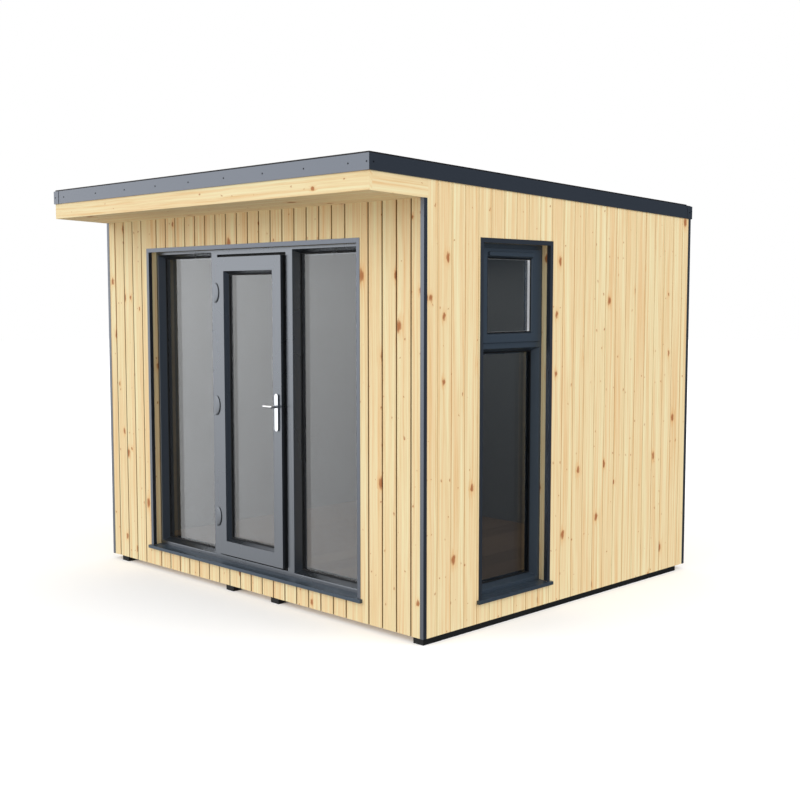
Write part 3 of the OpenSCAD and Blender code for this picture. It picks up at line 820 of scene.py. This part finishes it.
class POD_OT_cladding(bpy.types.Operator):
    """Boards on the four walls, with shadow gaps, cut round the openings"""

    bl_idname = "pod.cladding"
    bl_label = "Wall boards"

    def execute(self, context):
        s = context.scene.pod_boards
        thick = FRONT_HIGH[1] - FRONT_LOW[1]
        wide = (s.gap, s.groove, s.edge, thick)
        narrow = (s.side_gap, s.side_groove, s.edge * 0.6, thick)
        foot, sill, lintel = (
            level(z) for z in (FRONT_LOW[2], ENTRANCE_LOW[2], ENTRANCE_HIGH[2]))

        half, opening = FRONT_HIGH[0], ENTRANCE_HIGH[0]
        over = split(-opening, opening, -1.010 + s.front_pitch * np.arange(-2, 24))
        beside = 1.080 + s.front_pitch * np.arange(0, 5)
        right = split(opening, half, beside)
        left = split(-half, -opening, -beside[::-1])
        top = under_roof(front_wall, FASCIA_DROP)
        put_boards("front_boards", [
            board_run(columns, front_wall, low, high, *wide, seed)
            for columns, low, high, seed in (
                (over, lintel, top, 11), (over, foot, sill, 11), (right, foot, top, 47),
                (left, foot, top, 83))], "front_cladding")

        start, end, lap = SIDE_LOW[1], SIDE_HIGH[1], CHEEK_HIGH[1]
        joints = -0.962 + s.side_pitch * np.arange(0, 23)
        low, high = WINDOW_LOW[1], WINDOW_HIGH[1]
        columns = split(start, end, joints)
        top, cheek = (under_roof(right_wall, drop) for drop in (EDGE_DROP, FASCIA_DROP))
        put_boards("right_boards", [
            board_run(trimmed(columns, *stretch), right_wall, below, above, *narrow, 131, 0.12)
            for stretch, below, above in (
                ((lap, low), foot, top), ((high, end), foot, top), ((low, high), foot, sill),
                ((low, high), lintel, top), ((start, lap), foot, cheek))], "right_cladding")

        columns = split(-end, -start, -joints[::-1])
        put_boards("left_boards", [
            board_run(trimmed(columns, *stretch), left_wall, foot, under_roof(left_wall, drop),
                      *narrow, 211, 0.12)
            for stretch, drop in (((-end, -lap), EDGE_DROP), ((-lap, -start), FASCIA_DROP))],
            "left_cladding")

        columns = split(BACK_LOW[0], BACK_HIGH[0], s.front_pitch * (np.arange(-14, 15) + 0.5))
        put_boards("back_boards", [
            board_run(columns, back_wall, foot, under_roof(back_wall, EDGE_DROP), *wide, 307)],
            "back_cladding")
        return {"FINISHED"}


class POD_OT_canopy(bpy.types.Operator):
    """Fascia, cheek boards and soffit boards of the canopy"""

    bl_idname = "pod.canopy"
    bl_label = "Canopy boards"

    def execute(self, context):
        s = context.scene.pod_boards
        thick = FASCIA_HIGH[1] - FASCIA_LOW[1]

        def plain_board(rings, grain, tone):
            return rings, grain, np.full(rings.shape[:3], tone), np.zeros(rings.shape[:3])

        # the fascia: its outline from the back of its foot, round the front edge and up
        tall = FASCIA_DROP - EDGE_DROP
        depth = np.concatenate(([thick], s.edge * (1 - np.sin(ROUND)), [0.0, thick]))
        rise = np.concatenate(([0.0], s.edge * (1 - np.cos(ROUND)), [tall, tall]))
        height = roof_height(FASCIA_LOW[1]) - FASCIA_DROP + rise - depth * FALL
        x = np.array([[-1], [1]]) * FASCIA_HIGH[0]
        put_boards("fascia_board", [plain_board(
            grid(x, FASCIA_LOW[1] + depth, height)[None],
            grid(height + depth, x + 41.3)[None], 0.25)], "canopy_fascia")

        cheeks = []
        y = np.array([[CHEEK_LOW[1]], [CHEEK_HIGH[1]]])
        drop = np.array([FASCIA_DROP, FASCIA_DROP, EDGE_DROP, EDGE_DROP])
        for side, shift in ((1, 5.0), (-1, 23.0)):
            outer = side * CHEEK_HIGH[0]
            inner = outer - side * thick
            across = np.array([inner, outer, outer, inner])
            cheeks.append(plain_board(grid(across, y, roof_height(y) - drop)[None],
                                      grid(across - drop, y + shift)[None], 0.3))
        put_boards("cheek_boards", cheeks, "canopy_cheeks")

        start, end, reach = SOFFIT_LOW[1], SOFFIT_HIGH[1], SOFFIT_HIGH[0]
        columns = split(start, end, start + 0.1045 * np.arange(1, 4))
        put_boards("soffit_boards", [board_run(
            columns, soffit, level(-reach), level(reach), s.gap * 0.5, s.groove * 0.7, s.edge,
            0.0195, 401)], "canopy_soffit")
        return {"FINISHED"}


class POD_OT_roof(bpy.types.Operator):
    """Metal trims round the roof with their screws, and the membrane"""

    bl_idname = "pod.roof"
    bl_label = "Roof"

    def execute(self, context):
        dress(material("anthracite_trim"), "roof_trim_front", "roof_trim_back",
              "roof_trim_sides", "roof_trim_corners")
        dress(material("membrane"), "roof_membrane")
        dress(material("structure_board"), "roof_panel", "roof_deck")
        middle = (MEMBRANE_EDGE + EDGE_DROP) / 2
        heads = []
        for x in (-1.376, -0.986, -0.654, -0.322, 0.010, 0.342, 0.680, 1.014, 1.346):
            heads += [((x, TRIM_FRONT, roof_height(ROOF_FRONT) - middle), (0, -1, 0)),
                      ((x, -TRIM_FRONT, roof_height(-TRIM_FRONT) - middle), (0, 1, 0))]
        for side in (-1, 1):
            edge = side * CAP_HIGH[0]
            for end, y in ((-1, CAP_LOW[1]), (1, CAP_HIGH[1])):
                inner = y - end * 0.030
                heads += [((edge, inner, roof_height(inner) - middle), (side, 0, 0)),
                          ((edge - side * 0.018, y, roof_height(y) - middle), (0, end, 0))]
        screw_heads("roof_trim_screws", *zip(*heads), 0.0048, 0.0026, material("screw_metal"),
                    "anthracite_metal")
        return {"FINISHED"}


class POD_OT_trims(bpy.types.Operator):
    """Angle trims at the corners and openings, timber liners and sills"""

    bl_idname = "pod.trims"
    bl_label = "Trims and sills"

    def execute(self, context):
        dress(material("anthracite_trim"), "corner_trims", "entrance_trim", "window_trim")
        dress(material("pine_liner"), "entrance_liner", "window_liner")
        for node in ("entrance_sill", "window_sill"):
            soften(node, 0.0015, material("anthracite_shaded_copy"))
        return {"FINISHED"}


class POD_OT_frames(bpy.types.Operator):
    """Frames of the entrance and the side window, the vent sash, and their gaskets"""

    bl_idname = "pod.frames"
    bl_label = "Frames"

    def execute(self, context):
        soft = context.scene.pod_metal.soft_edge
        satin, matt = material("anthracite_frame"), material("anthracite_shaded_copy")
        rubber = material("rubber")
        soften("entrance_frame", soft, satin)
        soften("window_frame", soft, matt)
        soften("vent_sash", soft, matt)
        soften("trickle_vent", 0.003, matt)
        panes = glazed_places()
        fixed, vent = panes[:3], panes[3:]
        put_rings("frame_gaskets", panes, gasket_profile, rubber)
        # partly painted shade: a real black weather seal in the rebate round the leaf, also put there
        # to stand in for the shadow in that gap
        slack, rebate = 0.0145, 0.020
        around = (LEAF_LOW[[0, 2]] - slack, LEAF_HIGH[[0, 2]] + slack)
        put_rings("door_seal", [(around, ENTRANCE_LOW[1] + rebate - FRONT_LOW[1], front_wall)],
                  seal_profile, rubber)
        put_rings("inner_beads", fixed, bead_profile, satin)
        put_rings("sash_spacer", vent, spacer_profile, material("spacer_painted_glow"), slot="chrome")
        put_rings("frame_spacers", fixed, spacer_profile, rubber)
        return {"FINISHED"}


def glazed_places():
    """The panes that don't move, each as its (across, height) corners, the depth of its outer
    face and its wall: two on the front, then the lower and upper panes of the side window."""
    low, high = node_box("sidelight_glass")
    depth = low[1] - FRONT_LOW[1]
    right = ((MULLION_EDGE, low[2]), high[[0, 2]])
    left = ((-high[0], low[2]), (-MULLION_EDGE, high[2]))
    low, high = node_box("window_glass")
    sash_low, sash_high = (corner[1:] for corner in node_box("vent_sash"))
    fixed = (low[1:], (high[1], sash_low[1] - TRANSOM))
    inset = np.array([VENT_SIDE, VENT_RAIL])
    return [(right, depth, front_wall), (left, depth, front_wall),
            (fixed, SIDE_HIGH[0] - low[0] - 0.006, right_wall),
            ((sash_low + inset, sash_high - inset), SIDE_HIGH[0] - high[0], right_wall)]


def door_pane():
    """Corners, depth and wall of the door's outer pane."""
    low, high = node_box("door_glass")
    return (low[[0, 2]], high[[0, 2]]), low[1] - FRONT_LOW[1], front_wall


def gasket_profile(depth):
    """A half-round lip of rubber on the outside of a pane's edge."""
    turn = np.linspace(0, np.pi, 6)
    return grid(0.0035 - 0.0038 * np.cos(turn), depth - 0.0003 - 0.0045 * np.sin(turn))


def seal_profile(depth):
    """A flat seal with two low ribs on the face of the door's rebate: a row of points across,
    each as far out as its rib lifts it."""
    wide = 0.026
    lift = np.array([4, 12, 24, 12, 8, 12, 24, 12, 4]) / 10000
    return grid(np.concatenate([np.linspace(0, wide, 9), [wide, 0.0]]),
                np.concatenate([depth - lift, [depth + 0.001] * 2]))


def bead_profile(depth):
    """A square bead with one rounded corner, behind the frame, round the inner pane."""
    turn = np.radians(np.linspace(0, 90, 5))
    corner = grid(0.010 + 0.004 * np.sin(turn), depth + 0.026 + 0.004 * np.cos(turn))
    return np.concatenate([
        [[-0.018, depth + 0.0105], [-0.018, depth + 0.030]], corner,
        [[0.014, depth + 0.0245], [0.0, depth + 0.0245], [0.0, depth + 0.0105]]])


def spacer_profile(depth):
    """A bar between the two panes, along their edges."""
    near, far = depth + 0.0062, depth + 0.0198
    return np.array([[-0.0005, near], [-0.0005, far], [0.007, far], [0.007, near]])


class POD_OT_door(bpy.types.Operator):
    """Door leaf, hinges, handle plates and lever"""

    bl_idname = "pod.door"
    bl_label = "Door"

    def execute(self, context):
        rubber = material("rubber")
        soften("door_leaf", 0.004, material("anthracite_frame"), "door", segments=4)
        put_rings("door_gasket", [door_pane()], gasket_profile, rubber, "door")
        put_rings("door_spacer", [door_pane()], spacer_profile, rubber, "door")
        hinge_plates("hinge_plates")
        hinge_flags("hinge_flags")
        soften("handle_plates", 0.003, material("chrome"), "door", 4)
        lever("lever_handle")
        return {"FINISHED"}


def joint_place(name):
    """Where a joint's axis passes."""
    return next(joint["pos_m"] for joint in frame["joints"] if joint["name"] == name)


def hinge_middles():
    """Middle heights of the three hinges: the lowest, halfway, and the highest, as (3, 1, 1)."""
    first, last = HINGE_LOW[2] + 0.060, HINGE_HIGH[2] - 0.060
    return np.array([first, (first + last) / 2, last])[:, None, None]


def hinge_flags(name):
    """Moving halves of the hinges: each a cap whose outline is a chord beside the pin and half an
    ellipse over the leaf, carried up from the leaf's face and drawn in to a low crown."""
    satin = material("anthracite_frame")
    dress(satin, "hinge_leaf_halves")
    turn = np.radians(np.linspace(-90, 90, 25))
    lift = np.array([[0.0], [0.0040], [0.0055], [0.0065]])
    size = np.array([[1.0], [1.0], [0.94], [0.80]])
    x = joint_place("door_hinge")[0] - 0.002 + 0.039 * np.cos(turn) * size
    z = 0.062 * np.sin(turn) * size
    flags = grid(x, LEAF_LOW[1] - 0.0002 - lift, hinge_middles() + z)
    return put(name, flags, *loft(flags), satin, "door", replaces=["hinge_leaf_halves"],
               smooth=True)


def hinge_plates(name):
    """Fixed halves of the hinges: thin plates on the frame beside the leaf, each a long rounded
    outline carried through the plate's thickness."""
    satin = material("anthracite_frame")
    dress(satin, "hinge_frame_halves")
    turn = np.radians(np.arange(0, 360, 15))
    cos, sin = np.cos(turn), np.sin(turn)
    x = HINGE_LOW[0] + 0.0085 + 0.008 * np.sign(cos) * np.abs(cos) ** 0.5
    z = 0.058 * np.sign(sin) * np.abs(sin) ** 0.3
    plates = grid(x, ENTRANCE_LOW[1] - np.array([[-0.001], [0.002]]), hinge_middles() + z)
    return put(name, plates, *loft(plates), satin, replaces=["hinge_frame_halves"])


def lever(name):
    """Outer and inner levers: a rounded oval carried along the neck, round a bend and out along
    the grip, tapering towards its tip."""
    chrome = material("chrome")
    dress(chrome, "door_lever")
    x0, _, z0 = joint_place("lever_turn")
    reach, bend, cap, grip = x0 - LEVER_LOW[0], 0.012, 0.007, 0.0062
    sweep = np.radians(np.linspace(0, 90, 9))
    close = np.radians([30, 60, 80])
    turn = np.radians(np.arange(0, 360, 18))

    def girth(neck, elbow, tip):
        """Half a width along the path: even on the neck, tapering, then closing round the tip."""
        return np.concatenate([np.full(3, neck), np.linspace(neck, elbow, 9),
                               np.linspace(elbow, tip, 9), tip * np.cos(close)])[:, None]

    side = np.cos(turn) * girth(0.0085, 0.0060, 0.0050)
    rise = np.sin(turn) * girth(0.0085, 0.0078, 0.0066)
    # the neck runs along Y and the grip along X: the ring turns from one to the other in the bend
    angle = np.concatenate([np.zeros(3), sweep, np.full(12, np.pi / 2)])[:, None]
    path_x = np.concatenate([
        np.zeros(3), -bend * (1 - np.cos(sweep)), np.linspace(-bend - 0.006, cap - reach, 9),
        -reach + cap * (1 - np.sin(close))])[:, None]
    tubes = []
    for face, tip in ((LEAF_LOW[1] - 0.002, LEVER_LOW[1] + grip),
                      (LEAF_HIGH[1] + 0.002, LEVER_HIGH[1] - grip)):
        out = np.sign(tip - face)
        path_y = np.concatenate([
            np.linspace(face, tip - out * bend, 4)[:-1],
            tip - out * bend * (1 - np.sin(sweep)), np.full(12, tip)])[:, None]
        tubes.append(grid(x0 + path_x + side * np.cos(angle),
                          path_y + out * side * np.sin(angle), z0 + rise))
    rings = np.stack(tubes)
    return put(name, rings, *loft(rings), chrome, "lever", "chrome", ["door_lever"], smooth=True)


class POD_OT_glass(bpy.types.Operator):
    """Panes of the side lights, the door and the side window"""

    bl_idname = "pod.glass"
    bl_label = "Glass"

    def execute(self, context):
        dress(material("glazing"), "sidelight_glass", "door_glass", "window_glass")
        panes = glazed_places()
        put_panes("entrance_inner_panes", panes[:2])
        put_panes("window_inner_panes", panes[2:])
        put_panes("door_inner_pane", [door_pane()], "door")
        return {"FINISHED"}


class POD_OT_room(bpy.types.Operator):
    """Lining and floor inside"""

    bl_idname = "pod.room"
    bl_label = "Room"

    def execute(self, context):
        dress(material("lining_paint"), "front_wall_left", "front_wall_right", "front_wall_head",
              "right_wall_front", "right_wall_rear", "right_wall_head", "back_wall", "left_wall",
              "ceiling_lining")
        dress(material("laminate"), "floor_boards")
        dress(material("structure_board"), "floor_panel")
        dress(material("bearer_timber"), "bearers")
        return {"FINISHED"}


def studio_floor():
    """A flat floor of eight by eight squares."""
    span = np.linspace(-40, 40, 9)
    x, y = np.meshgrid(span, span, indexing="ij")
    index = np.arange(81).reshape(9, 9)
    quads = grid(index[:-1, :-1], index[1:, :-1], index[1:, 1:], index[:-1, 1:])
    mesh = bpy.data.meshes.new("studio_floor")
    mesh.from_pydata(grid(x, y, 0).reshape(-1, 3).tolist(), [], quads.reshape(-1, 4).tolist())
    mesh.materials.append(material("studio_white"))
    return mesh


def studio_world(s):
    """Light from all round: white to the camera, an even dome to matt faces, and to polished
    ones a bright front left and a dark back right."""
    world = bpy.data.worlds.new("Studio")
    world.use_nodes = True
    tree = world.node_tree
    tree.nodes.clear()
    toward = add(tree, "ShaderNodeTexCoord").outputs["Generated"]
    x, y, z = add(tree, "ShaderNodeSeparateXYZ", {0: toward}).outputs
    # how far a direction leans to the front left, from 0 to 1
    lean = maths(tree, "MULTIPLY_ADD", maths(tree, "ADD", x, y), -0.8, -0.1, clamp=True)
    # polished metal mirrors less from below; light that has passed through a pane does not
    path = add(tree, "ShaderNodeLightPath").outputs
    through = maths(tree, "MINIMUM", path["Transmission Depth"], 1.0)
    low = maths(tree, "MAXIMUM", maths(tree, "MULTIPLY_ADD", z, 2.2, 1.0), 0.2)
    low = maths(tree, "MINIMUM", low, 1.0)
    pane = maths(tree, "MULTIPLY_ADD", x, -2.3, -1.11)
    pane = maths(tree, "MINIMUM", maths(tree, "MAXIMUM", pane, 0.4), 0.86)
    share = add(tree, "ShaderNodeMix", {0: through, 2: low, 3: pane}, data_type="FLOAT").outputs[0]
    shade = blend_colours(tree, lean, (0.80 * s.dark, s.dark, 1.25 * s.dark, 1),
                          (s.bright, s.bright, s.bright, 1))
    # little of the dome comes into the room through the panes: the room has its own lamp
    dome = maths(tree, "MULTIPLY", maths(tree, "MULTIPLY_ADD", through, -0.9, 1.0), s.dome)
    cast = blend_colours(tree, maths(tree, "MINIMUM", path["Diffuse Depth"], 1.0),
                         dimmed(tree, shade, share), dimmed(tree, (1, 1, 1), dome))
    light = add(tree, "ShaderNodeBackground", {"Color": cast, "Strength": 1.0})
    plain = add(tree, "ShaderNodeBackground", {"Color": (1, 1, 1, 1), "Strength": 1.0})
    mixed = add(tree, "ShaderNodeMixShader", {
        0: path["Is Camera Ray"], 1: light.outputs[0], 2: plain.outputs[0]})
    add(tree, "ShaderNodeOutputWorld", {"Surface": mixed.outputs[0]})
    world.cycles.sampling_method = "NONE"
    return world


class POD_OT_stage(bpy.types.Operator):
    """White floor, soft studio light and the camera"""

    bl_idname = "pod.stage"
    bl_label = "Studio"

    def execute(self, context):
        s = context.scene.pod_stage

        def place(name, data):
            made = bpy.data.objects.new(name, data)
            context.scene.collection.objects.link(made)
            return made

        floor = place("studio_floor", studio_floor())
        floor.visible_glossy = floor.visible_transmission = False
        context.scene.world = studio_world(s)

        for label, turn, climb, power in (("key", -25, 28, s.key), ("fill", 110, 30, s.fill)):
            lamp = place(label, bpy.data.lights.new(label, "SUN"))
            lamp.data.energy = power * math.pi
            lamp.data.angle = math.radians(50)
            lamp.rotation_euler = (math.radians(90 - climb), 0, math.radians(turn))
            lamp.visible_glossy = False

        lamp = place("room", bpy.data.lights.new("room", "AREA"))
        lamp.data.energy = s.room
        lamp.data.shape = "RECTANGLE"
        lamp.data.size, lamp.data.size_y = 2.2, 2.0
        lamp.location = (0, 0.1, node_box("ceiling_lining")[0][2] - 0.12)
        lamp.visible_glossy = lamp.visible_transmission = lamp.visible_camera = False

        camera = place("camera", bpy.data.cameras.new("camera"))
        camera.data.lens = s.lens
        camera.data.sensor_width = 36
        camera.data.clip_end = 200
        camera.location = s.place
        camera.rotation_euler = (math.pi / 2 - s.elevation, 0, s.azimuth)
        context.scene.camera = camera
        context.scene.view_settings.view_transform = "Standard"
        return {"FINISHED"}


OPERATORS = (POD_OT_cladding, POD_OT_canopy, POD_OT_roof, POD_OT_trims, POD_OT_frames,
             POD_OT_door, POD_OT_glass, POD_OT_room, POD_OT_stage)
SETTINGS = {"pod_boards": PodBoards, "pod_metal": PodMetal, "pod_room": PodRoom,
            "pod_stage": PodStage}


class POD_PT_panel(bpy.types.Panel):
    """Lists the steps that make the building, and their sizes and colours"""

    bl_idname = "POD_PT_panel"
    bl_label = "Garden office pod"
    bl_space_type = "VIEW_3D"
    bl_region_type = "UI"
    bl_category = "Pod"

    def draw(self, context):
        for label, group_type in SETTINGS.items():
            box = self.layout.box()
            for key in group_type.__annotations__:
                box.prop(getattr(context.scene, label), key)
        for step in OPERATORS:
            self.layout.operator(step.bl_idname)


def register():
    for part in (*SETTINGS.values(), *OPERATORS, POD_PT_panel):
        bpy.utils.register_class(part)
    for label, group_type in SETTINGS.items():
        setattr(bpy.types.Scene, label, bpy.props.PointerProperty(type=group_type))


def unregister():
    for label in SETTINGS:
        delattr(bpy.types.Scene, label)
    for part in reversed((*SETTINGS.values(), *OPERATORS, POD_PT_panel)):
        bpy.utils.unregister_class(part)


def main():
    """Makes every piece in order."""
    register()
    for step in OPERATORS:
        family, name = step.bl_idname.split(".")
        getattr(getattr(bpy.ops, family), name)()


if __name__ == "__main__":
    main()
